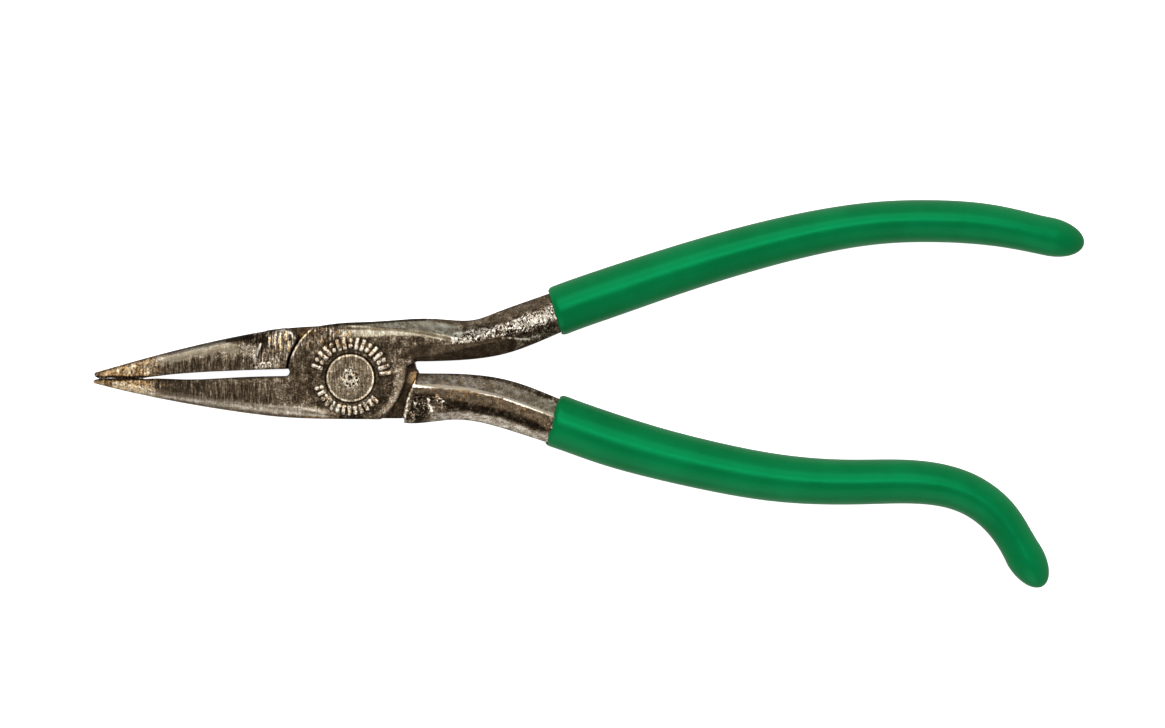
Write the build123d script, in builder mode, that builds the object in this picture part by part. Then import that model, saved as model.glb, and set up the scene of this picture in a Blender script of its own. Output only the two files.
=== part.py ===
from build123d import *

import os
from math import atan2, cos, degrees, radians, sin

# Long-nose pliers with a riveted lap joint, dipped grips and one handle ending in a hook.
#
# Frame: the rivet's axis is Z and the flush back of the joint is z = 0. The nose points along -X,
# the handles run along +X, the straight handle lies on the +Y side and the hooked one on the -Y
# side. Each lever crosses over at the joint: the front lever is the lower jaw, the front half of
# the lap and the straight handle; the rear lever is the upper jaw, the back half of the lap and
# the hooked handle. All lengths are in millimetres.

# ---- driving dimensions ------------------------------------------------------------------------
JOINT_THICKNESS = 10.0  # both lap halves together
MID_Z = JOINT_THICKNESS / 2
LAP_GAP = 0.10  # free play between the two lap faces
BOSS_RADIUS = 18.5  # the flat faces of the joint end in this arc on the jaws

LAP_RADIUS = 12.1  # free edge of each lap beside the other lever's jaw
SHOULDER_RADIUS = 12.45  # concentric shoulder of the jaw that faces it
BOTTOM_Y = -7.75  # lower edge of the joint

SHANK_RADIUS = 3.2
PIVOT_CLEARANCE = 0.03  # radial running clearance of the rear lever on the rivet
FRONT_HEAD_RADIUS = 4.65
FRONT_HEAD_DEPTH = 1.45
FRONT_HEAD_PROUD = 0.2
BACK_HEAD_RADIUS = 4.3
BACK_HEAD_DEPTH = 1.1
HEAD_CLEARANCE = 0.05  # between the turning lever and the rivet's back head
DIMPLE_RING = 1.2  # radius of the ring of peening dimples round the centre punch mark
DIMPLE_RADIUS = 0.28
DIMPLE_DEPTH = 0.15

JAW_GAP = 0.07  # half the gap left between the closed gripping faces
TOOTH_PITCH = 0.7  # fine cross serrations that mesh when the jaws close
TOOTH_DEPTH = 0.25
TOOTH_COUNT = 12
TEETH_START = -48.6

MARK_HEIGHT = 0.25  # raised marks round the rivet
MARK_WIDTH = 0.6
DOT_RADIUS = 0.38
MARK_STEP = 10.2  # degrees
UPPER_MARKS = (8, 16, 5.6, 7.8)  # first angle, count, inner and outer radius
LOWER_MARKS = (197, 13, 5.3, 7.0)

BEVEL_SLOPE = 0.85  # drop of a handle bevel for each millimetre of its width
BEVEL_SOFTENING = 0.35
MOUTH_ROUNDING = 1.1
FAR = 30.0  # reach of the trimming outlines beyond the metal

# Jaw sections: x, distance of the back edge from the grip plane, thickness, rounding of that edge
LOWER_NOSE = [(-49.7, 0.95, 2.6, 0.8), (-38.5, 3.55, 5.2, 1.3), (-27.0, 5.65, 8.2, 2.0),
              (-18.6, 6.85, 9.9, 2.2), (-12.5, 7.5, 10.0, 2.2)]
LOWER_ROOT = [(-19.5, 6.7, 10.0, 2.2), (-12.5, 7.5, 10.0, 2.2), (-3.0, 7.8, 10.0, 0.7),
              (6.5, 7.9, 10.0, 0.5)]
UPPER_NOSE = [(-49.7, 0.95, 2.6, 0.8), (-38.5, 4.1, 5.2, 1.3), (-26.0, 7.15, 8.1, 1.8),
              (-12.5, 9.6, 9.9, 1.6)]
UPPER_ROOT = [(-19.5, 8.5, 10.0, 1.7), (-12.5, 9.6, 10.0, 1.6), (-6.0, 10.0, 10.0, 1.0),
              (1.0, 10.1, 10.0, 0.8)]
JAW_OVERCUT = 2.6  # the jaw blanks reach this far past the grip plane before they are ground

# Handle sections: x, y of the centre, width, thickness, inner bevel, outer bevel
STRAIGHT_BAR = [(-9.0, 6.4, 6.6, 10.0, 0.4, 0.5), (-3.0, 6.8, 7.2, 10.0, 0.4, 0.6),
                (3.0, 6.95, 7.6, 10.0, 0.4, 1.0), (8.0, 7.1, 7.9, 10.0, 0.5, 1.7),
                (13.5, 7.3, 8.2, 10.0, 0.6, 2.5), (19.0, 7.25, 7.8, 9.6, 1.4, 3.2),
                (28.0, 8.45, 8.0, 8.8, 2.3, 2.9), (38.0, 12.15, 7.8, 8.2, 2.5, 2.5),
                (60.0, 20.1, 7.3, 8.0, 2.3, 2.3), (80.0, 25.8, 6.9, 7.9, 2.2, 2.2),
                (100.0, 29.75, 6.4, 7.7, 2.0, 2.0), (117.0, 30.0, 6.0, 7.3, 1.9, 1.9),
                (132.0, 27.6, 5.2, 6.3, 1.7, 1.7)]
HOOKED_BAR = [(10.5, -3.75, 9.6, 10.0, 2.2, 0.8), (14.0, -3.8, 9.4, 10.0, 2.5, 1.3),
              (19.5, -3.55, 8.8, 9.6, 3.1, 2.4), (28.0, -4.6, 9.1, 9.0, 3.6, 2.8),
              (38.0, -7.95, 8.7, 8.4, 3.6, 2.6), (58.0, -14.25, 8.1, 8.0, 2.8, 2.5),
              (78.0, -18.6, 7.4, 7.9, 2.3, 2.3), (98.0, -19.95, 6.7, 7.7, 2.1, 2.1),
              (112.0, -20.35, 6.2, 7.3, 2.0, 2.0), (120.7, -23.5, 5.7, 6.9, 1.8, 1.8),
              (124.7, -27.4, 5.2, 6.5, 1.6, 1.6), (128.2, -32.6, 4.8, 6.1, 1.4, 1.4)]

# Grip sections from ahead of the mouth to the closed end: x, y of the centre, width, thickness
STRAIGHT_GRIP = [(36.5, 11.67, 9.75, 9.9), (48.0, 15.95, 9.6, 9.9), (60.0, 20.0, 9.3, 9.9),
                 (74.0, 24.28, 8.95, 9.85), (88.0, 27.75, 8.55, 9.75), (101.0, 29.78, 8.25, 9.55),
                 (112.0, 30.12, 8.17, 9.25), (121.0, 29.57, 8.03, 8.85), (128.5, 28.3, 7.6, 8.25),
                 (133.7, 27.17, 7.5, 7.5)]
HOOKED_GRIP = [(36.2, -7.17, 10.6, 9.86), (48.0, -11.3, 10.2, 9.86), (58.0, -14.28, 9.9, 9.86),
               (68.0, -16.7, 9.6, 9.86), (82.0, -19.2, 9.2, 9.8), (97.0, -19.95, 8.7, 9.6),
               (109.0, -20.0, 8.4, 9.2), (118.0, -22.1, 7.95, 8.7), (124.8, -27.35, 7.5, 8.0),
               (128.95, -34.05, 7.45, 7.45)]
STRAIGHT_MOUTH = (38.55, 12.45, 15.5)  # x, y and the way the grip runs from it, in degrees from +X
HOOKED_MOUTH = (38.2, -7.85, -18.0)
STRAIGHT_END = -12.5  # the way each closed end points, in degrees from +X
HOOKED_END = -58.5
DOME_LENGTH = 7.0  # the closed end of each grip is a dome this long


# ---- solids from sections ----------------------------------------------------------------------
def jaw_blank(stations, side):
    """Tapered jaw with a rounded back. side is +1 for the upper jaw and -1 for the lower one."""
    with BuildPart() as blank:
        for x, reach, thickness, rounding in stations:
            height = reach + JAW_OVERCUT
            with BuildSketch(Plane.YZ.offset(x)):
                with Locations((side * (reach - height / 2), MID_Z)):
                    Rectangle(height, thickness)
                backs = vertices().group_by(Axis.X)[-1 if side > 0 else 0]
                fillet(backs, rounding)
        loft()
    return blank.part


def jaw_root(stations, side):
    """Full-thickness root of a jaw, ended by the arc of the joint's flat faces."""
    with BuildPart() as root:
        add(jaw_blank(stations, side))
        with Locations((0, 0, MID_Z)):
            Cylinder(BOSS_RADIUS, 2 * JOINT_THICKNESS, mode=Mode.INTERSECT)
    return root.part


def centreline(stations):
    """Smooth curve through the stations' centres, level with the middle of the joint."""
    with BuildLine(Plane.XY.offset(MID_Z)) as line:
        Spline(*[(x, y) for x, y, *_ in stations])
    return line.edge()


def heading_at(path, x, y):
    """Direction of the path at (x, y), in degrees from +X."""
    along = path % path.param_at_point(Vector(x, y, MID_Z))
    return degrees(atan2(along.Y, along.X))


def across(x, y, heading):
    """Plane square to the heading at (x, y); its local X points to the left."""
    turn = radians(heading)
    return Plane(origin=(x, y, MID_Z), x_dir=(-sin(turn), cos(turn), 0),
                 z_dir=(cos(turn), sin(turn), 0))


def bevelled_bar(stations, outer):
    """Forged bar of eight-sided section. outer is +1 where its outer edge is the left one."""
    path = centreline(stations)
    with BuildPart() as bar:
        for x, y, width, thickness, inner_bevel, outer_bevel in stations:
            half = width / 2
            rise = thickness / 2
            inner_side = rise - BEVEL_SLOPE * inner_bevel
            outer_side = rise - BEVEL_SLOPE * outer_bevel
            with BuildSketch(across(x, y, heading_at(path, x, y))):
                with BuildLine():
                    Polyline((-outer * half, -inner_side), (-outer * half, inner_side),
                             (-outer * (half - inner_bevel), rise),
                             (outer * (half - outer_bevel), rise),
                             (outer * half, outer_side), (outer * half, -outer_side),
                             (outer * (half - outer_bevel), -rise),
                             (-outer * (half - inner_bevel), -rise), close=True)
                make_face()
                fillet(vertices(), min(BEVEL_SOFTENING, 0.4 * min(inner_bevel, outer_bevel)))
        loft()
    return bar.part


def grip_blank(stations, mouth_place, end_heading):
    """Outer shape of a dipped grip: oval sections, a rounded mouth and a domed end."""
    path = centreline(stations)
    end_x, end_y, end_width, end_thickness = stations[-1]
    end = across(end_x, end_y, end_heading)
    with BuildPart() as blank:
        for x, y, width, thickness in stations[:-1]:
            with BuildSketch(across(x, y, heading_at(path, x, y))):
                Ellipse(width / 2, thickness / 2)
        with BuildSketch(end):
            Ellipse(end_width / 2, end_thickness / 2)
        loft()
        split(bisect_by=across(*mouth_place), keep=Keep.TOP)
        mouth = blank.faces().filter_by(GeomType.PLANE).sort_by(Axis.X)[0]
        fillet(mouth.edges(), MOUTH_ROUNDING)
        with BuildSketch(Plane(origin=end.origin, x_dir=end.z_dir, z_dir=(0, 0, 1))):
            with BuildLine():
                dome = EllipticalCenterArc((0, 0), DOME_LENGTH, end_width / 2)
                Polyline(dome @ 1, (0, 0), dome @ 0)
            make_face()
        revolve(axis=Axis(end.origin, end.z_dir))
    return blank.part


# ---- trimming outlines in plan -----------------------------------------------------------------
def tooth_line(shift):
    """Points of the meshing serrations from the tip inwards, moved by shift off the grip plane."""
    points = []
    for index in range(2 * TOOTH_COUNT + 1):
        crest = TOOTH_DEPTH / 2 if index % 2 else -TOOTH_DEPTH / 2
        points.append((TEETH_START + index * TOOTH_PITCH / 2, crest + shift))
    return points


def front_lever_outline():
    """Plan region the front lever may fill: below the grip plane, on the lap, above the neck gap."""
    with BuildSketch() as outline:
        with BuildLine():
            tip = ThreePointArc((-48.9, -1.3), (-49.6, -0.75), (-49.1, -0.25))
            grip = Polyline(tip @ 1, *tooth_line(-JAW_GAP), (-38.0, -JAW_GAP))
            relief = Spline(grip @ 1, (-32.5, -0.27), (-22.0, 0.15), (-12.6, 0.42),
                            tangents=[(1, -0.01), (1, 0.02)])
            lap_edge = CenterArc((0, 0), LAP_RADIUS, 171, -55)
            ThreePointArc(relief @ 1, (-11.6, 1.1), lap_edge @ 0)
            gap = Polyline(lap_edge @ 1, (-5, FAR), (160, FAR + 25), (160, 15), (44, 7.0),
                           (27, 3.0), (12.3, 3.0), (10.7, 2.3))
            right_edge = ThreePointArc(gap @ 1, (9.4, -3.3), (5.2, -8.2))
            Polyline(right_edge @ 1, (5.2, -FAR), (-48.9, -FAR), tip @ 0)
        make_face()
    return outline.sketch


def rear_lever_outline():
    """Plan region the rear lever may fill: above the grip plane, on the lap, below the neck gap."""
    with BuildSketch() as outline:
        with BuildLine():
            tip = ThreePointArc((-48.7, 1.25), (-49.4, 0.7), (-49.0, 0.2))
            grip = Polyline(tip @ 1, *tooth_line(JAW_GAP), (-39.9, JAW_GAP))
            relief = Spline(grip @ 1, (-37.0, 0.45), (-33.0, 0.87), (-22.0, 1.45), (-12.6, 1.75),
                            tangents=[(1, 0.1), (1, 0.02)])
            slit_end = ThreePointArc(relief @ 1, (-11.5, 1.05), (-12.6, 0.42))
            lap_edge = CenterArc((0, 0), LAP_RADIUS, 182, 38)
            Line(slit_end @ 1, lap_edge @ 0)
            under = Polyline(lap_edge @ 1, (-9.0, BOTTOM_Y), (9.45, BOTTOM_Y), (9.45, -FAR),
                             (160, -FAR - 25), (160, -10), (44, -2.4), (27, 1.6), (13.0, 1.1),
                             (12.2, 1.7), (11.9, 2.9))
            right_edge = ThreePointArc(under @ 1, (8.6, 7.1), (2.6, 10.5))
            Polyline(right_edge @ 1, (2.6, FAR), (-48.7, FAR), tip @ 0)
        make_face()
    return outline.sketch


def front_pocket_outline():
    """Plan region of the rear lever that is cut away in front, where the front lap turns."""
    with BuildSketch() as outline:
        with BuildLine():
            shoulder = CenterArc((0, 0), SHOULDER_RADIUS, 172, -28)
            corner = ThreePointArc(shoulder @ 1, (-10.75, 8.75), (-12.3, 9.45))
            Polyline(corner @ 1, (-13.4, FAR), (FAR, FAR), (FAR, 1.9), (12.6, 1.9), (12.6, 0.2),
                     (11.85, -1.1))
            handle_shoulder = ThreePointArc((11.85, -1.1), (10.35, -5.0), (9.5, -8.9))
            Polyline(handle_shoulder @ 1, (9.5, -FAR), (-14.5, -FAR), (-14.5, 0.9),
                     (-12.75, 1.4), shoulder @ 0)
        make_face()
    return outline.sketch


def rear_pocket_outline():
    """Plan region of the front lever that is cut away behind, where the rear lap turns."""
    with BuildSketch() as outline:
        with BuildLine():
            shoulder = CenterArc((0, 0), SHOULDER_RADIUS, 182, 29)
            corner = ThreePointArc(shoulder @ 1, (-11.2, -7.4), (-12.1, -8.4))
            Polyline(corner @ 1, (-13.4, -FAR), (FAR, -FAR), (FAR, 2.2), (12.9, 2.2), (12.7, 3.6))
            handle_shoulder = ThreePointArc((12.7, 3.6), (11.2, 7.9), (10.4, 12.4))
            Polyline(handle_shoulder @ 1, (10.4, FAR), (-14.5, FAR), (-14.5, -0.5), shoulder @ 0)
        make_face()
    return outline.sketch


def mark_arc(first_angle, count, inner, outer):
    """Plain bars in an arc round the rivet head, every third one a pair of dots."""
    middle = (inner + outer) / 2
    with BuildSketch(Plane.XY.offset(JOINT_THICKNESS)) as marks:
        for index in range(count):
            with PolarLocations(middle, 1, start_angle=first_angle + index * MARK_STEP):
                if index % 3 == 2:
                    with Locations((-(outer - inner) / 4, 0), ((outer - inner) / 4, 0)):
                        Circle(DOT_RADIUS)
                else:
                    Rectangle(outer - inner, MARK_WIDTH)
    return marks.sketch


# ---- front lever -------------------------------------------------------------------------------
with BuildPart() as front_lever:
    add(jaw_blank(LOWER_NOSE, -1))
    add(jaw_root(LOWER_ROOT, -1))
    add(bevelled_bar(STRAIGHT_BAR, 1))
    with BuildSketch(Plane.XY):
        with BuildLine():
            Polyline((-13.5, -5.0), (-3.0, -7.0), (8.5, -7.2), (10.8, -3.0), (12.2, 3.2), (11.5, 8.5),
                     (-8.0, 9.2), (-13.5, 3.0), close=True)
        make_face()
    extrude(amount=JOINT_THICKNESS)
    add(front_lever_outline())
    extrude(amount=JOINT_THICKNESS, mode=Mode.INTERSECT)
    add(rear_pocket_outline())
    extrude(amount=MID_Z + LAP_GAP / 2, mode=Mode.SUBTRACT)
    with Locations((0, 0, MID_Z)):
        Cylinder(SHANK_RADIUS, 2 * JOINT_THICKNESS, mode=Mode.SUBTRACT)
    with Locations((0, 0, JOINT_THICKNESS - FRONT_HEAD_DEPTH)):
        Cone(SHANK_RADIUS, FRONT_HEAD_RADIUS, FRONT_HEAD_DEPTH,
             align=(Align.CENTER, Align.CENTER, Align.MIN), mode=Mode.SUBTRACT)
    add(mark_arc(*UPPER_MARKS))
    add(mark_arc(*LOWER_MARKS))
    extrude(amount=MARK_HEIGHT)

# ---- rear lever --------------------------------------------------------------------------------
with BuildPart() as rear_lever:
    add(jaw_blank(UPPER_NOSE, 1))
    add(jaw_root(UPPER_ROOT, 1))
    add(bevelled_bar(HOOKED_BAR, -1))
    with BuildSketch(Plane.XY):
        with BuildLine():
            Polyline((-13.5, 7.0), (-13.5, BOTTOM_Y), (9.5, BOTTOM_Y), (11.8, -7.0), (12.6, 1.0),
                     (12.4, 2.9), (8.5, 8.5), (0.0, 8.9), close=True)
        make_face()
    extrude(amount=JOINT_THICKNESS)
    add(rear_lever_outline())
    extrude(amount=JOINT_THICKNESS, mode=Mode.INTERSECT)
    with BuildSketch(Plane.XY.offset(MID_Z - LAP_GAP / 2)):
        add(front_pocket_outline())
    extrude(amount=JOINT_THICKNESS, mode=Mode.SUBTRACT)
    with Locations((0, 0, MID_Z)):
        Cylinder(SHANK_RADIUS + PIVOT_CLEARANCE, 2 * JOINT_THICKNESS, mode=Mode.SUBTRACT)
    with BuildSketch(Plane.XY):
        Circle(BACK_HEAD_RADIUS + HEAD_CLEARANCE)
    with BuildSketch(Plane.XY.offset(BACK_HEAD_DEPTH + HEAD_CLEARANCE)):
        Circle(SHANK_RADIUS + PIVOT_CLEARANCE)
    loft(mode=Mode.SUBTRACT)

# ---- rivet -------------------------------------------------------------------------------------
with BuildPart() as pivot_rivet:
    Cylinder(SHANK_RADIUS, JOINT_THICKNESS, align=(Align.CENTER, Align.CENTER, Align.MIN))
    Cone(BACK_HEAD_RADIUS, SHANK_RADIUS, BACK_HEAD_DEPTH,
         align=(Align.CENTER, Align.CENTER, Align.MIN))
    with Locations((0, 0, JOINT_THICKNESS - FRONT_HEAD_DEPTH)):
        Cone(SHANK_RADIUS, FRONT_HEAD_RADIUS, FRONT_HEAD_DEPTH,
             align=(Align.CENTER, Align.CENTER, Align.MIN))
    with Locations((0, 0, JOINT_THICKNESS)):
        Cylinder(FRONT_HEAD_RADIUS, FRONT_HEAD_PROUD, align=(Align.CENTER, Align.CENTER, Align.MIN))
    fillet(pivot_rivet.edges().group_by(Axis.Z)[-1], 0.8 * FRONT_HEAD_PROUD)
    with Locations((0, 0, JOINT_THICKNESS + FRONT_HEAD_PROUD)):
        Cone(0.05, 0.6, 0.3, align=(Align.CENTER, Align.CENTER, Align.MAX), mode=Mode.SUBTRACT)
    with BuildSketch(Plane.XY.offset(JOINT_THICKNESS + FRONT_HEAD_PROUD)):
        with PolarLocations(DIMPLE_RING, 6):
            Circle(DIMPLE_RADIUS)
    extrude(amount=-DIMPLE_DEPTH, mode=Mode.SUBTRACT)

# ---- dipped grips ------------------------------------------------------------------------------
with BuildPart() as straight_grip:
    add(grip_blank(STRAIGHT_GRIP, STRAIGHT_MOUTH, STRAIGHT_END))
    add(front_lever.part, mode=Mode.SUBTRACT)

with BuildPart() as hooked_grip:
    add(grip_blank(HOOKED_GRIP, HOOKED_MOUTH, HOOKED_END))
    add(rear_lever.part, mode=Mode.SUBTRACT)

# ---- output ------------------------------------------------------------------------------------
os.makedirs("parts", exist_ok=True)
front_lever.part.label = "front_lever"
export_step(front_lever.part, "parts/front_lever.step")
rear_lever.part.label = "rear_lever"
export_step(rear_lever.part, "parts/rear_lever.step")
pivot_rivet.part.label = "pivot_rivet"
export_step(pivot_rivet.part, "parts/pivot_rivet.step")
straight_grip.part.label = "straight_grip"
export_step(straight_grip.part, "parts/straight_grip.step")
hooked_grip.part.label = "hooked_grip"
export_step(hooked_grip.part, "parts/hooked_grip.step")
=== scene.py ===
from math import cos, radians, sin

import bmesh
import bpy
import numpy as np
from mathutils import Matrix, Vector


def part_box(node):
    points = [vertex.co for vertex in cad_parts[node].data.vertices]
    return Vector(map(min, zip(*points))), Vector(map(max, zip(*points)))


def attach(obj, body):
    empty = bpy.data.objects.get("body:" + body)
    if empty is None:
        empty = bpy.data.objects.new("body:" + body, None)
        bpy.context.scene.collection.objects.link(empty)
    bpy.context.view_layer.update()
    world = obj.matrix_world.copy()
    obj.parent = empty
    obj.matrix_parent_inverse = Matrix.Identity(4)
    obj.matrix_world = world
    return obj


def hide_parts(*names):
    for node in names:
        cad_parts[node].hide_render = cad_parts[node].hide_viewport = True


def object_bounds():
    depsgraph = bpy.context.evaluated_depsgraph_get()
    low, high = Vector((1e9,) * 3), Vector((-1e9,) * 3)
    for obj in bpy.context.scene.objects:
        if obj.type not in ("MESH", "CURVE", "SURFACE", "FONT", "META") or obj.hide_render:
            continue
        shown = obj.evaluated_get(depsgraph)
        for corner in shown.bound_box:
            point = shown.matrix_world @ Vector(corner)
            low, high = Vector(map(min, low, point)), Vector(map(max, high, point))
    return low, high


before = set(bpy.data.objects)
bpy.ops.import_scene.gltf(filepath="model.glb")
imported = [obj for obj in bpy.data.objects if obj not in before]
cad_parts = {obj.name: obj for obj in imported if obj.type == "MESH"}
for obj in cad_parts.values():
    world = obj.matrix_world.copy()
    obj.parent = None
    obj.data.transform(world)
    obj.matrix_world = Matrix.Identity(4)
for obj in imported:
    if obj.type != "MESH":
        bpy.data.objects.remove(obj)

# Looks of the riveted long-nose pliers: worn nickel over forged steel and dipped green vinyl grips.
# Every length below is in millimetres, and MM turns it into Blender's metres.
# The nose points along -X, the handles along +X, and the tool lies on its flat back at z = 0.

MM = 0.001
CAD_LOW, CAD_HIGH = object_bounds()
JOINT_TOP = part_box("rear_lever")[1].z / MM  # the joint's flat front face
LAP_Z = JOINT_TOP / 2  # where the two lap faces meet

# ---- mesh sizes --------------------------------------------------------------------------------
LEVER_VOXEL = 0.17
RIVET_VOXEL = 0.09
GRIP_VOXEL = 0.34
METAL_RELAXING = 3  # smoothing steps that round the edges, as wear does
GRIP_RELAXING = 14
TANG_CUT = 46.0  # the tangs are plain bars from here on, deep inside the grips
TANG_OVERLAP = 0.2
MERGE_DISTANCE = 0.002


# ---- mesh tools --------------------------------------------------------------------------------
def cad_copy(node, name):
    """New object with the CAD node's mesh in millimetres, its split corners merged."""
    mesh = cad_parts[node].data.copy()
    mesh.transform(Matrix.Scale(1 / MM, 4))
    mesh.materials.clear()
    work = bmesh.new()
    work.from_mesh(mesh)
    bmesh.ops.remove_doubles(work, verts=work.verts, dist=MERGE_DISTANCE)
    work.to_mesh(mesh)
    work.free()
    piece = bpy.data.objects.new(name, mesh)
    bpy.context.scene.collection.objects.link(piece)
    return piece


def keep_side(piece, x, low_side):
    """Keep the part of the piece on one side of the plane at x, and close the cut."""
    work = bmesh.new()
    work.from_mesh(piece.data)
    everything = work.verts[:] + work.edges[:] + work.faces[:]
    cut = bmesh.ops.bisect_plane(work, geom=everything, plane_co=(x, 0, 0), plane_no=(1, 0, 0),
                                 clear_outer=low_side, clear_inner=not low_side)
    rim = [item for item in cut["geom_cut"] if isinstance(item, bmesh.types.BMEdge)]
    bmesh.ops.triangle_fill(work, use_beauty=True, edges=rim)
    bmesh.ops.recalc_face_normals(work, faces=work.faces)
    work.to_mesh(piece.data)
    work.free()


def apply_modifiers(piece):
    """Turn the piece's modifiers into mesh."""
    graph = bpy.context.evaluated_depsgraph_get()
    shaped = bpy.data.meshes.new_from_object(piece.evaluated_get(graph))
    piece.modifiers.clear()
    piece.data = shaped


def remesh(piece, voxel, relaxing):
    """Even, rounded mesh of small voxels, relaxed so that its edges look worn."""
    voxels = piece.modifiers.new("voxels", "REMESH")
    voxels.mode = "VOXEL"
    voxels.voxel_size = voxel
    relax = piece.modifiers.new("relax", "SMOOTH")
    relax.factor = 0.5
    relax.iterations = relaxing
    apply_modifiers(piece)


def read_points(piece):
    """The piece's points and normals as two arrays."""
    count = len(piece.data.vertices)
    points = np.empty(count * 3, np.float32)
    normals = np.empty(count * 3, np.float32)
    piece.data.vertices.foreach_get("co", points)
    piece.data.vertex_normals.foreach_get("vector", normals)
    return points.reshape(-1, 3).astype(float), normals.reshape(-1, 3).astype(float)


def write_points(piece, points):
    """Move the piece's points to the given places."""
    piece.data.vertices.foreach_set("co", points.astype(np.float32).ravel())
    piece.data.update()


def lattice_noise(points, cell, seed):
    """Smooth noise from -1 to 1 with cells of the given size, hashed from the cells' corners."""
    grid = points / cell
    base = np.floor(grid).astype(np.int64)
    blend = grid - base
    blend = blend * blend * (3 - 2 * blend)
    total = np.zeros(len(points))
    for corner in range(8):
        offset = np.array([corner & 1, corner >> 1 & 1, corner >> 2 & 1])
        knot = base + offset
        key = knot[:, 0] * 73856093 ^ knot[:, 1] * 19349663 ^ knot[:, 2] * 83492791 ^ seed * 2654435
        key = (key ^ key >> 13) * 1274126177
        value = ((key ^ key >> 16) & 0xFFFF) / 32767.5 - 1
        total += value * np.prod(np.where(offset, blend, 1 - blend), axis=1)
    return total


def fade(value, start, end):
    """Smooth step from 0 at start to 1 at end; start may be the larger."""
    t = np.clip((value - start) / (end - start), 0, 1)
    return t * t * (3 - 2 * t)


def near_route(points, route, half_width, soft):
    """1 within half_width of a line of (x, y) points seen from above, fading to 0 over soft."""
    best = np.full(len(points), 1e9)
    flat = points[:, :2]
    for start, end in zip(route, route[1:]):
        a = np.array(start, float)
        along = np.array(end, float) - a
        share = np.clip((flat - a) @ along / (along @ along), 0, 1)
        best = np.minimum(best, np.linalg.norm(flat - a - share[:, None] * along, axis=1))
    return fade(best, half_width + soft, half_width)


def inside_outline(points, outline, soft):
    """1 inside a convex outline of (x, y) corners listed clockwise, fading to 0 over soft."""
    depth = np.full(len(points), 1e9)
    flat = points[:, :2]
    for start, end in zip(outline, outline[1:] + outline[:1]):
        along = Vector((end[0] - start[0], end[1] - start[1])).normalized()
        inward = np.array([along.y, -along.x])
        depth = np.minimum(depth, (flat - np.array(start, float)) @ inward)
    return fade(depth, 0, soft)


# how bright (wear and painted highlights), dark (soot and painted shade), bronzed, greenish,
# smooth, cross-ground and flecked the metal is
ZONES = ("light", "dark", "warm", "cool", "smooth", "ground", "fleck")
ZONE_LIMIT = 1.5
PATCH_SIZE = 0.45  # of the gaps in a broken stroke


def blank_zones(points):
    """Every zone at 0 on all the points."""
    return {name: np.zeros(len(points)) for name in ZONES}


def stroke(zones, points, route, half_width, soft, broken=0.0, **strengths):
    """Add strengths to the zones along a route of (x, y) points, with gaps if it is broken."""
    share = near_route(points, route, half_width, soft)
    share *= 1 - broken * fade(lattice_noise(points, PATCH_SIZE, seed=7), -0.15, 0.3)
    for name, strength in strengths.items():
        zones[name] += strength * share


def write_zones(piece, zones):
    """Store the zones on the mesh, for its material to read."""
    for name, values in zones.items():
        stored = piece.data.attributes.new(name, "FLOAT", "POINT")
        stored.data.foreach_set("value", np.clip(values, 0, ZONE_LIMIT).astype(np.float32))


def hand_over(piece, node, body, material):
    """Back to metres, and onto its body in place of the CAD node."""
    piece.data.transform(Matrix.Scale(MM, 4))
    piece.data.materials.clear()
    piece.data.materials.append(material)
    piece.data.shade_smooth()
    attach(piece, body)
    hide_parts(node)


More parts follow.
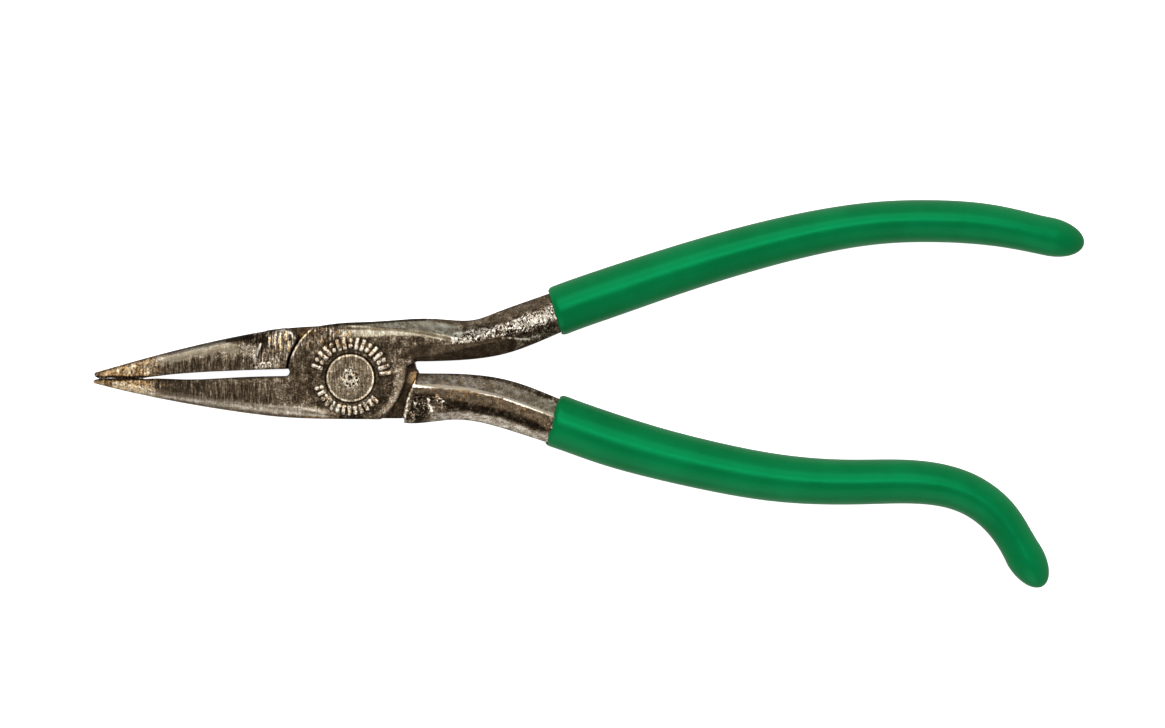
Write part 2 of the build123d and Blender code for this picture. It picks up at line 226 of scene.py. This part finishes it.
# ---- shader tools ------------------------------------------------------------------------------
class Shader:
    """A material's node tree, written as formulas."""

    def __init__(self, name):
        self.material = bpy.data.materials.new(name)
        self.material.use_nodes = True
        self.tree = self.material.node_tree
        self.tree.nodes.clear()
        self.surface = self.tree.nodes.new("ShaderNodeBsdfPrincipled")
        output = self.tree.nodes.new("ShaderNodeOutputMaterial")
        self.tree.links.new(self.surface.outputs["BSDF"], output.inputs["Surface"])

    def put(self, socket, value):
        """Link a socket to another node's output, or set its own value."""
        if isinstance(value, bpy.types.NodeSocket):
            self.tree.links.new(value, socket)
        else:
            socket.default_value = value

    def node(self, kind, settings=None, **inputs):
        """New node with its settings and its named inputs."""
        made = self.tree.nodes.new(kind)
        for key, value in (settings or {}).items():
            setattr(made, key, value)
        for key, value in inputs.items():
            self.put(made.inputs[key], value)
        return made

    def math(self, operation, a, b):
        made = self.node("ShaderNodeMath", {"operation": operation})
        self.put(made.inputs[0], a)
        self.put(made.inputs[1], b)
        return made.outputs[0]

    def times(self, a, b):
        return self.math("MULTIPLY", a, b)

    def plus(self, a, b):
        return self.math("ADD", a, b)

    def step(self, value, start, end):
        """Smooth step from 0 at start to 1 at end."""
        made = self.node("ShaderNodeMapRange", {"interpolation_type": "SMOOTHSTEP"},
                         **{"Value": value, "From Min": start, "From Max": end})
        return made.outputs["Result"]

    def span(self, value, low, high):
        """Map a value between 0 and 1 to the range from low to high."""
        return self.node("ShaderNodeMapRange", None,
                         **{"Value": value, "To Min": low, "To Max": high}).outputs["Result"]

    def mix(self, share, a, b, blend="MIX"):
        """Colour between a and b. The node's sockets share their names, so they go by number."""
        made = self.node("ShaderNodeMix", {"data_type": "RGBA", "blend_type": blend})
        self.put(made.inputs["Factor"], share)
        self.put(made.inputs[6], a)
        self.put(made.inputs[7], b)
        return made.outputs[2]

    def blend(self, share, a, b):
        """Number between a and b, from the same node's sockets for numbers."""
        made = self.node("ShaderNodeMix", {"data_type": "FLOAT"})
        self.put(made.inputs[0], share)
        self.put(made.inputs[2], a)
        self.put(made.inputs[3], b)
        return made.outputs[0]

    def ramp(self, value, tones):
        """Colour for a value, from a list of (place, colour)."""
        made = self.node("ShaderNodeValToRGB", None, Fac=value)
        stops = made.color_ramp.elements
        while len(stops) < len(tones):
            stops.new(0.5)
        for stop, (place, colour) in zip(stops, tones):
            stop.position = place
            stop.color = colour
        return made.outputs["Color"]

    def zone(self, name):
        """A number stored on the mesh."""
        return self.node("ShaderNodeAttribute", {"attribute_name": name}).outputs["Fac"]

    def place(self, stretch):
        """The piece's own coordinates in millimetres, each divided by the grain's size in it."""
        coords = self.node("ShaderNodeTexCoord").outputs["Object"]
        scale = tuple(1 / (MM * size) for size in stretch)
        return self.node("ShaderNodeMapping", None, Vector=coords, Scale=scale).outputs["Vector"]

    def noise(self, grain, detail=3.0, roughness=0.55, distortion=0.0):
        """Noise from 0 to 1 whose lumps are grain millimetres in x, y and z."""
        made = self.node("ShaderNodeTexNoise", None, Vector=self.place(grain), Scale=1.0,
                         Detail=detail, Roughness=roughness, Distortion=distortion)
        return made.outputs["Fac"]

    def bump(self, height, depth, below=None):
        """Normal for a height from 0 to 1 that is depth millimetres tall."""
        made = self.node("ShaderNodeBump", None, Height=height, Strength=1.0, Distance=depth * MM)
        if below is not None:
            self.put(made.inputs["Normal"], below)
        return made.outputs["Normal"]

    def set(self, **inputs):
        """Fill in the surface's inputs, and return the material."""
        for key, value in inputs.items():
            self.put(self.surface.inputs[key.replace("_", " ")], value)
        return self.material


# ---- metal -------------------------------------------------------------------------------------
NICKEL_TONES = [(0.08, (0.008, 0.0055, 0.003, 1)), (0.34, (0.031, 0.022, 0.0135, 1)),
                (0.50, (0.092, 0.068, 0.044, 1)), (0.66, (0.24, 0.195, 0.140, 1)),
                (0.86, (0.78, 0.71, 0.61, 1))]
RIVET_TONES = [(0.08, (0.009, 0.0065, 0.0045, 1)), (0.34, (0.040, 0.029, 0.018, 1)),
               (0.50, (0.110, 0.084, 0.054, 1)), (0.66, (0.22, 0.178, 0.124, 1)),
               (0.86, (0.70, 0.63, 0.51, 1))]
BRONZE_TONES = [(0.08, (0.018, 0.008, 0.003, 1)), (0.34, (0.097, 0.049, 0.018, 1)),
                (0.50, (0.28, 0.158, 0.062, 1)), (0.66, (0.55, 0.355, 0.165, 1)),
                (0.86, (0.95, 0.76, 0.47, 1))]
GREENISH = (0.86, 0.98, 0.96, 1)
TONE_GAIN = 2.5  # contrast of the patina
SMOOTH_GAIN = 0.75  # its contrast where the metal is smooth
TONE_SHIFT = 0.3  # how far a light or dark zone moves the tone
FLECK_GAIN = 0.42  # how far a fleck stands out of the tone round it


def worn_metal(name, tones):
    """Old plate over forged steel: ground streaks, pits, soot and painted shade, wear and painted
    highlights, flecks and bronzed specks.
    """
    metal = Shader(name)
    light, dark, warm, cool, smooth, ground, fleck = (metal.zone(zone) for zone in ZONES)

    streaks = metal.noise((0.30, 2.6, 2.6), detail=4, roughness=0.62, distortion=0.4)
    mottle = metal.noise((1.3, 1.5, 1.3), detail=5, roughness=0.7)
    grains = metal.noise((0.32, 0.38, 0.32), detail=3, roughness=0.7)
    flakes = metal.noise((0.42, 0.55, 0.42), detail=2, roughness=0.6, distortion=0.8)
    tints = metal.noise((0.7, 0.9, 0.7), detail=3, roughness=0.7)

    lumps = metal.plus(metal.times(mottle, 0.55), metal.times(grains, 0.45))
    ground_tone = metal.plus(metal.times(streaks, 0.7), metal.times(lumps, 0.3))
    tone = metal.blend(ground, lumps, ground_tone)
    contrast = metal.span(smooth, TONE_GAIN, SMOOTH_GAIN)
    tone = metal.times(metal.plus(tone, -0.5), contrast)
    tone = metal.plus(tone, metal.times(light, TONE_SHIFT))
    tone = metal.plus(tone, metal.times(dark, -TONE_SHIFT))
    pale_chips = metal.step(flakes, 0.50, 0.60)
    dark_chips = metal.step(flakes, 0.46, 0.38)
    chips = metal.plus(pale_chips, metal.times(dark_chips, -0.9))
    tone = metal.plus(tone, metal.times(metal.times(chips, fleck), FLECK_GAIN))
    tone = metal.plus(tone, 0.5)

    specks = metal.plus(warm, metal.times(metal.plus(tints, -0.5), 3.0))
    bronze = metal.times(metal.step(specks, 0.45, 1.0), 0.85)
    colour = metal.mix(metal.times(cool, 0.7), metal.ramp(tone, tones), GREENISH, "MULTIPLY")
    colour = metal.mix(bronze, colour, metal.ramp(tone, BRONZE_TONES))

    roughness = metal.plus(metal.span(smooth, 0.46, 0.38), metal.times(light, -0.04))
    relief = metal.times(ground_tone, metal.span(smooth, 1.0, 0.25))
    normal = metal.bump(relief, depth=0.09)
    normal = metal.bump(grains, depth=0.03, below=normal)
    normal = metal.bump(metal.times(chips, fleck), depth=0.05, below=normal)
    return metal.set(Base_Color=colour, Metallic=1.0, Roughness=roughness, Normal=normal)


# ---- vinyl -------------------------------------------------------------------------------------
VINYL_DEEP = (0.0013, 0.118, 0.031, 1)
VINYL_GREEN = (0.0015, 0.142, 0.039, 1)
VINYL_SHEEN = (0.01, 0.76, 0.26, 1)  # tint of the gloss seen head on


def dipped_vinyl():
    """Satin green dip: an even colour with faint clouds, orange peel and rubbed spots."""
    vinyl = Shader("dipped_vinyl")
    clouds = vinyl.noise((9.0, 9.0, 9.0), detail=3, roughness=0.5)
    peel = vinyl.noise((0.9, 0.9, 0.9), detail=2, roughness=0.5)
    scuffs = vinyl.step(vinyl.noise((3.0, 0.5, 0.5), detail=4, roughness=0.7), 0.55, 0.75)
    colour = vinyl.mix(vinyl.step(clouds, 0.3, 0.7), VINYL_DEEP, VINYL_GREEN)
    roughness = vinyl.plus(vinyl.span(clouds, 0.27, 0.33), vinyl.times(scuffs, 0.08))
    normal = vinyl.bump(peel, depth=0.005)
    return vinyl.set(Base_Color=colour, Roughness=roughness, Normal=normal, IOR=1.5,
                     Specular_Tint=VINYL_SHEEN)


# ---- levers ------------------------------------------------------------------------------------
STEP_RADIUS = 12.3  # middle of the gap between a lap's edge and the shoulder round it
CREST_DEPTH = 0.10  # how uneven the flaked crest of the upper neck is
PANEL_DEPTH = 0.22  # how far the panel at the lower neck's root is sunk
PANEL_ROUGHNESS = 0.10


def lever_mesh(node, name):
    """Fine mesh of the head and neck, with the plain tang behind it."""
    piece = cad_copy(node, name)
    tang = cad_copy(node, name + "_tang")
    keep_side(piece, TANG_CUT, low_side=True)
    keep_side(tang, TANG_CUT - TANG_OVERLAP, low_side=False)
    remesh(piece, LEVER_VOXEL, METAL_RELAXING)
    return piece, tang


def join_tang(piece, tang):
    """Add the tang to the piece's mesh."""
    work = bmesh.new()
    work.from_mesh(piece.data)
    work.from_mesh(tang.data)
    work.to_mesh(piece.data)
    work.free()
    bpy.data.objects.remove(tang)


def lever_zones(points, normals):
    """Zones that both levers share: bronzed tips, a ground joint, and lap faces and shoulder walls
    darkened with dirt and painted shade.
    """
    x, y, z = points.T
    radius = np.hypot(x, y)
    steep = np.abs(normals[:, 2])
    zones = blank_zones(points)
    tip = fade(x, -33, -41)
    zones["warm"] += 0.75 * tip
    zones["fleck"] += 0.3 * tip
    zones["light"] += 0.12 * tip
    zones["warm"] += 0.12
    zones["ground"] += fade(x, 12, 5) * (0.3 + 0.1 * fade(radius, 22, 19))
    # the lap faces and the shoulder walls round them are darkened: dirt and painted shade
    lap_face = fade(steep, 0.5, 0.9) * fade(np.abs(z - LAP_Z), 0.9, 0.4)
    shoulder = fade(steep, 0.6, 0.2) * fade(np.abs(radius - STEP_RADIUS), 0.9, 0.5)
    hidden_shade_and_dirt = np.maximum(lap_face, shoulder)
    zones["dark"] += 0.75 * hidden_shade_and_dirt
    zones["warm"] += 0.3 * hidden_shade_and_dirt
    zones["smooth"] += 0.5 * hidden_shade_and_dirt
    return zones


def mark_zones(zones, points):
    """The raised marks are rubbed bright, a little more towards the upper right as painted light,
    and dirt and painted shade lie between them and round the rivet's head.
    """
    x, y, z = points.T
    radius = np.hypot(x, y)
    on_face = fade(z, JOINT_TOP - 0.6, JOINT_TOP - 0.2)
    raised = fade(z, JOINT_TOP + 0.06, JOINT_TOP + 0.18) * fade(radius, 8.8, 8.4)
    # ring and rim: painted shade and dirt between the raised marks and round the rivet's head
    ring = fade(radius, 4.9, 5.2) * fade(radius, 8.6, 7.9) * on_face * (1 - raised)
    rim = fade(radius, 5.05, 4.8) * on_face
    # the marks get brighter towards the upper right: painted light
    rubbed = 0.9 + 0.5 * lattice_noise(points, 0.7, seed=11) + 0.02 * (x + y)
    zones["light"] += rubbed * raised
    zones["warm"] += 0.5 * raised
    zones["fleck"] += 0.5 * raised
    zones["dark"] += 0.6 * ring + 1.2 * rim
    zones["ground"] *= 1 - 0.8 * ring


def front_lever_piece(material):
    """Lower jaw, marked front lap and upper neck."""
    piece, tang = lever_mesh("front_lever", "forged_front_lever")
    crest = [(20.5, 7.6), (24.5, 8.2), (28.7, 9.1), (33.0, 10.4), (38.5, 12.2)]
    points, normals = read_points(piece)
    hammered = near_route(points, crest, 1.0, 0.8)
    flaking = hammered * CREST_DEPTH * lattice_noise(points, 0.75, seed=5)
    points += normals * flaking[:, None]
    write_points(piece, points)
    join_tang(piece, tang)

    points, normals = read_points(piece)
    zones = lever_zones(points, normals)
    mark_zones(zones, points)

    # jaw: smooth rounding with a painted highlight, bronzed and darker lower edge, dark ground
    # face, painted shade at the edge of the slit and in the seam between the tips
    stroke(zones, points, [(-45, -1.6), (-38, -3.05), (-30, -4.3), (-23.3, -5.2), (-16.4, -6.0),
                           (-8, -6.6), (-3, -6.8)], 0.75, 0.6, light=0.65, smooth=0.8)
    stroke(zones, points, [(-38, -3.75), (-26, -5.75), (-14, -7.3), (-2, -7.75)], 0.15, 0.3,
           warm=0.6, dark=0.4)
    stroke(zones, points, [(-36, -1.6), (-26, -2.4), (-16, -2.8)], 1.2, 1.0, dark=0.4, ground=0.4)
    stroke(zones, points, [(-38, -0.3), (-22, 0.1), (-12.8, 0.35)], 0.15, 0.35, dark=0.7)
    stroke(zones, points, [(-49, -0.1), (-38, -0.1)], 0.2, 0.25, dark=1.6)
    # lap: dark beside the jaw, contrasty streaks at the top left, a painted highlight along its
    # upper left edge, a paler right rim
    stroke(zones, points, [(-9.8, -2.5), (-9.4, 3.0)], 1.4, 2.0, dark=0.35)
    stroke(zones, points, [(-8.5, 7.4), (-1.0, 8.2)], 1.3, 1.2, ground=0.65, dark=0.25, warm=0.3,
           fleck=0.3)
    stroke(zones, points, [(-11.3, 4.1), (-10.2, 6.3), (-8.6, 8.4), (-7.3, 9.5)], 0.13, 0.25,
           broken=0.5, light=1.3, warm=0.4)
    stroke(zones, points, [(10.2, 1.8), (10.0, -1.0), (9.2, -3.8), (7.3, -6.2)], 0.6, 0.6,
           light=0.2, smooth=0.6, warm=0.2)
    stroke(zones, points, [(7.0, 6.2), (13.0, 5.8)], 1.6, 1.2, dark=0.35)
    # neck: painted shade along the outer edge, a smooth greenish band with a painted highlight,
    # painted shade along a crease to hide its highlight, a flaked crest with a painted highlight,
    # painted shade on the lower side and one scratch
    stroke(zones, points, [(-3, 10.1), (8.7, 11.05), (14, 11.25)], 0.2, 0.3, dark=0.9)
    stroke(zones, points, [(14, 10.9), (19, 10.5), (28.7, 11.8), (37, 14.9)], 0.75, 0.5,
           light=0.25, smooth=0.7, warm=0.25)
    stroke(zones, points, [(-1, 9.1), (3, 9.4), (8.7, 9.7), (13.6, 9.6), (17, 9.0), (19.5, 8.6)],
           1.3, 0.5, light=0.65, smooth=0.85, cool=0.9)
    stroke(zones, points, [(-2, 9.6), (5.4, 9.4), (9.9, 9.2), (14.5, 8.5), (19, 7.5)], 0.12, 0.3,
           dark=0.75)
    stroke(zones, points, crest, 0.75, 0.6, light=0.5, fleck=1.3)
    stroke(zones, points, [(33, 10.5), (38.5, 12.4)], 1.3, 0.6, light=0.35, fleck=0.6)
    stroke(zones, points, [(13, 4.6), (19, 4.7), (26, 5.6), (30, 6.6)], 1.3, 0.6,
           dark=0.5, smooth=0.8)
    stroke(zones, points, [(30, 8.2), (34, 8.9), (38, 9.9)], 0.7, 0.5, dark=0.6, fleck=0.6)
    stroke(zones, points, [(29, 7.75), (34, 7.4)], 0.1, 0.2, light=1.4)
    write_zones(piece, zones)
    hand_over(piece, "front_lever", "front_half", material)


# x, top, bottom and half width of the ground streaks across the upper jaw's root
GOLDEN_STREAKS = [(-13.3, 8.6, 5.4, 0.15), (-14.3, 8.2, 6.3, 0.08), (-12.2, 8.8, 7.4, 0.1),
                  (-15.3, 7.6, 6.8, 0.08), (-11.7, 7.0, 5.2, 0.1)]


def rear_lever_piece(material):
    """Upper jaw, rear lap and lower neck."""
    piece, tang = lever_mesh("rear_lever", "forged_rear_lever")
    panel = [(12.2, -2.8), (16.4, -3.1), (15.3, -6.3), (13.9, -8.0), (10.4, -8.2)]
    points, normals = read_points(piece)
    rough = inside_outline(points, panel, 0.5) * fade(points[:, 2], LAP_Z, LAP_Z + 2)
    sinking = rough * (PANEL_DEPTH + PANEL_ROUGHNESS * lattice_noise(points, 0.6, seed=9))
    points -= normals * sinking[:, None]
    write_points(piece, points)
    join_tang(piece, tang)

    points, normals = read_points(piece)
    zones = lever_zones(points, normals)
    # jaw: pale back edge, smooth grey band with a painted highlight, a dark patch above and
    # mottling below, and painted shade in the seam between the tips
    stroke(zones, points, [(-47, 1.3), (-38, 3.5), (-30, 5.5), (-22, 7.2)], 0.15, 0.3,
           light=0.2, smooth=0.5)
    stroke(zones, points, [(-36, 3.4), (-30.1, 5.0), (-24.8, 6.0), (-21, 5.5), (-18.4, 5.2)],
           0.75, 0.6, light=0.4, smooth=0.95, cool=0.4)
    stroke(zones, points, [(-23.5, 7.1), (-19, 7.9)], 0.1, 0.5, dark=0.8, smooth=0.5)
    stroke(zones, points, [(-20.0, 7.4), (-16.5, 7.6)], 0.35, 0.8, dark=0.8, smooth=0.3)
    stroke(zones, points, [(-35, 1.8), (-29, 2.5), (-21, 3.1)], 0.9, 0.6, dark=0.3, ground=0.4)
    stroke(zones, points, [(-18, 5.5), (-12.5, 6.0)], 3.2, 0.8, ground=0.65, fleck=0.35, dark=0.15,
           warm=0.1)
    stroke(zones, points, [(-49, 0.1), (-39, 0.1)], 0.2, 0.25, dark=1.6)
    # jaw root: a painted highlight on the edge of the boss with painted shade beside it, golden
    # ground streaks, pale flecks and a painted highlight on the rounded corner
    stroke(zones, points, [(-17.0, 6.6), (-17.9, 4.7), (-18.25, 2.9)], 0.12, 0.2, light=1.2)
    stroke(zones, points, [(-16.2, 7.4), (-17.1, 5.0)], 0.3, 0.3, dark=0.8)
    for x, top, bottom, width in GOLDEN_STREAKS:
        stroke(zones, points, [(x, top), (x - 0.1, bottom)], width, 0.22, light=0.65, warm=0.7)
    stroke(zones, points, [(-14.3, 3.7), (-13.9, 2.6)], 0.5, 0.4, light=0.4, smooth=0.8)
    stroke(zones, points, [(-17.6, 2.3), (-15.6, 2.5)], 0.3, 0.5, light=0.6, fleck=0.5)
    stroke(zones, points, [(-13.5, 9.1), (-12.4, 9.1), (-11.3, 8.5), (-10.7, 7.7)], 0.12, 0.2,
           light=0.9)
    # neck: smooth inner strip, a painted highlight on the ridge, painted shade in the furrow and a
    # painted highlight on the pale rounded outer side
    stroke(zones, points, [(12, 0.0), (20, -0.9), (28.5, -2.0), (40, -6.4)], 1.1, 0.5,
           light=0.65, smooth=0.8, warm=0.3)
    stroke(zones, points, [(14, -3.0), (22, -3.4), (30, -5.4), (37, -8.0)], 0.8, 0.6,
           dark=0.3, smooth=0.8, warm=0.25)
    stroke(zones, points, [(17.5, -4.6), (22, -5.4), (29, -6.8), (35, -9.1)], 0.45, 0.7,
           dark=0.95, fleck=0.3)
    stroke(zones, points, [(34, -8.7), (41, -11.4)], 0.3, 1.0, dark=0.45, warm=0.2)
    stroke(zones, points, [(16, -7.6), (22, -7.4), (29, -8.5), (37, -11.3)], 0.8, 0.6,
           light=0.75, smooth=0.65)
    stroke(zones, points, [(11.9, -1.5), (16.3, -1.5), (22.6, -2.1), (28.8, -3.6), (38.4, -7.0)],
           0.14, 0.25, broken=0.35, light=1.7, warm=0.2)
    # root of the neck: rough sunken panel between two painted highlights on its edges
    sunken = inside_outline(points, panel, 0.5)
    zones["dark"] += 0.8 * sunken
    zones["fleck"] += 0.8 * sunken
    zones["smooth"] *= 1 - sunken
    stroke(zones, points, [(14.8, -3.9), (15.4, -6.2)], 0.13, 0.2, light=1.2)
    stroke(zones, points, [(11.3, -2.6), (10.2, -8.2)], 0.12, 0.2, light=0.6)
    stroke(zones, points, [(16.4, -3.7), (18.0, -5.0)], 0.3, 0.5, light=0.5, fleck=0.8, warm=0.2)
    write_zones(piece, zones)
    hand_over(piece, "rear_lever", "rear_half", material)


# ---- rivet -------------------------------------------------------------------------------------
DIMPLES = 6  # peened dents round the centre punch mark, painted on as shade and highlights
DIMPLE_RING = 1.2  # radius of their ring
HEAD_UNEVENNESS = 0.03
RIVET_CLEARANCE = 0.05  # keeps the turning lever's bore free of the rivet


def rivet_piece(material):
    """Peened rivet: painted highlights on its front head's rim and round the dents, painted shade
    in the dents and round the head.
    """
    piece = cad_copy("pivot_rivet", "peened_rivet")
    remesh(piece, RIVET_VOXEL, METAL_RELAXING)
    points, normals = read_points(piece)
    front = fade(points[:, 2], JOINT_TOP - 0.5, JOINT_TOP - 0.2)
    peening = HEAD_UNEVENNESS * lattice_noise(points, 1.1, seed=3) * front
    points += normals * peening[:, None]
    points -= normals * (RIVET_CLEARANCE * (1 - front))[:, None]
    write_points(piece, points)
    radius = np.hypot(points[:, 0], points[:, 1])
    zones = blank_zones(points)
    # a painted highlight on the rounded rim of the head
    rim_highlight = fade(radius, 4.1, 4.25) * fade(radius, 4.6, 4.45)
    # dents painted as shade, with painted highlights round them; the mesh has no dents
    dent_shade = fade(radius, 0.45, 0.25)
    rubbed = fade(radius, 0.9, 0.7) * fade(radius, 0.45, 0.6)
    for index in range(DIMPLES):
        turn = radians(360 / DIMPLES * index)
        off_x = points[:, 0] - DIMPLE_RING * cos(turn)
        off_y = points[:, 1] - DIMPLE_RING * sin(turn)
        away = np.hypot(off_x, off_y)
        dent_shade += fade(away, 0.3, 0.15)
        rubbed += fade(away, 0.55, 0.4) * fade(away, 0.2, 0.35)
    centre = fade(radius, 2.2, 1.5) * front
    zones["ground"] += 0.5
    zones["fleck"] += 0.9 * centre
    zones["warm"] += 0.15 + 0.4 * rim_highlight + 0.4 * rubbed
    zones["light"] += 0.8 * rim_highlight + 0.9 * rubbed + 0.2 * centre
    # painted shade in the dents and round the outside of the head
    zones["dark"] += 1.0 * dent_shade + 1.2 * fade(radius, 4.5, 4.62)
    write_zones(piece, zones)
    hand_over(piece, "pivot_rivet", "front_half", material)


# ---- grips -------------------------------------------------------------------------------------
FACET_DEPTH = 0.11  # how far the flats sink
FACETS = [(38.0, 20.0), (-36.0, 20.0)]  # middle and width of the flats beside the ridge, in degrees


def grip_piece(node, body, name, material):
    """Dipped grip: smooth and oval, with the bevels of the bar inside showing softly."""
    piece = cad_copy(node, name)
    remesh(piece, GRIP_VOXEL, GRIP_RELAXING)
    points, normals = read_points(piece)
    across = np.copysign(np.hypot(normals[:, 0], normals[:, 1]), normals[:, 1])
    turn = np.degrees(np.arctan2(across, np.abs(normals[:, 2])))
    sink = np.zeros(len(points))
    for middle, width in FACETS:
        sink += np.exp(-((turn - middle) / width) ** 2)
    points -= normals * (FACET_DEPTH * sink)[:, None]
    write_points(piece, points)
    hand_over(piece, node, body, material)


# ---- studio ------------------------------------------------------------------------------------
FLOOR_SIZE = 6000.0
FLOOR_GLOW = 0.95  # a light table, which keeps the shadows faint
FLOOR_TONES = [(0.60, 0.60, 0.60, 1), (0.63, 0.63, 0.63, 1)]
SKY_COLOUR = (1.0, 0.98, 0.96, 1)
SKY_STRENGTH = 0.4
# name, tilt, heading and spread in degrees, and strength
SUNS = [("key", 36, 98, 50, 2.05), ("fill", 62, 262, 45, 0.6), ("top", 8, 70, 20, 0.75)]
VIEW_WIDTH = 223.6  # what the frame spans at the middle of the tool
VIEW_CENTRE = (44.2, 2.7)
LENS = 100.0
SENSOR = 36.0
CLIP_NEAR = 0.01  # metres
CLIP_FAR = 20.0


def studio_floor():
    """Pale table with a faint grain and an even glow."""
    floor = Shader("studio_floor")
    grain = floor.noise((40.0, 40.0, 40.0), detail=2)
    colour = floor.mix(grain, *FLOOR_TONES)
    return floor.set(Base_Color=colour, Roughness=0.9, Emission_Color=(1, 1, 1, 1),
                     Emission_Strength=FLOOR_GLOW)


def floor_piece():
    """The table that the tool lies on."""
    half = FLOOR_SIZE / 2 * MM
    mesh = bpy.data.meshes.new("floor")
    corners = [(-half, -half, 0), (half, -half, 0), (half, half, 0), (-half, half, 0)]
    mesh.from_pydata(corners, [], [(0, 1, 2, 3)])
    floor = bpy.data.objects.new("floor", mesh)
    floor.location.z = CAD_LOW.z
    bpy.context.scene.collection.objects.link(floor)
    mesh.materials.append(studio_floor())
    floor.visible_glossy = False  # its glow would bleach the grips' rims


def soft_sun(name, tilt, heading, spread, strength):
    """Soft light from far away, tilted off the vertical towards a heading counted from +X."""
    light = bpy.data.lights.new(name, "SUN")
    light.energy = strength
    light.angle = radians(spread)
    lamp = bpy.data.objects.new(name, light)
    toward = Vector((sin(radians(tilt)) * cos(radians(heading)),
                     sin(radians(tilt)) * sin(radians(heading)), cos(radians(tilt))))
    lamp.rotation_euler = toward.to_track_quat("Z", "Y").to_euler()
    bpy.context.scene.collection.objects.link(lamp)


def studio():
    """Pale sky and three soft lights."""
    world = bpy.data.worlds.new("studio")
    world.use_nodes = True
    sky = world.node_tree.nodes["Background"]
    sky.inputs["Color"].default_value = SKY_COLOUR
    sky.inputs["Strength"].default_value = SKY_STRENGTH
    bpy.context.scene.world = world
    for name, tilt, heading, spread, strength in SUNS:
        soft_sun(name, tilt, heading, spread, strength)
    bpy.context.scene.view_settings.view_transform = "Standard"


def camera():
    """Looks straight down at the tool."""
    data = bpy.data.cameras.new("camera")
    data.lens = LENS
    data.sensor_width = SENSOR
    data.clip_start = CLIP_NEAR
    data.clip_end = CLIP_FAR
    height = VIEW_WIDTH * LENS / SENSOR + LAP_Z
    shot = bpy.data.objects.new("camera", data)
    shot.location = (VIEW_CENTRE[0] * MM, VIEW_CENTRE[1] * MM, height * MM)
    bpy.context.scene.collection.objects.link(shot)
    bpy.context.scene.camera = shot


# ---- build -------------------------------------------------------------------------------------
nickel = worn_metal("worn_nickel", NICKEL_TONES)
vinyl = dipped_vinyl()
front_lever_piece(nickel)
rear_lever_piece(nickel)
rivet_piece(worn_metal("rivet_steel", RIVET_TONES))
grip_piece("straight_grip", "front_half", "vinyl_straight_grip", vinyl)
grip_piece("hooked_grip", "rear_half", "vinyl_hooked_grip", vinyl)
floor_piece()
studio()
camera()
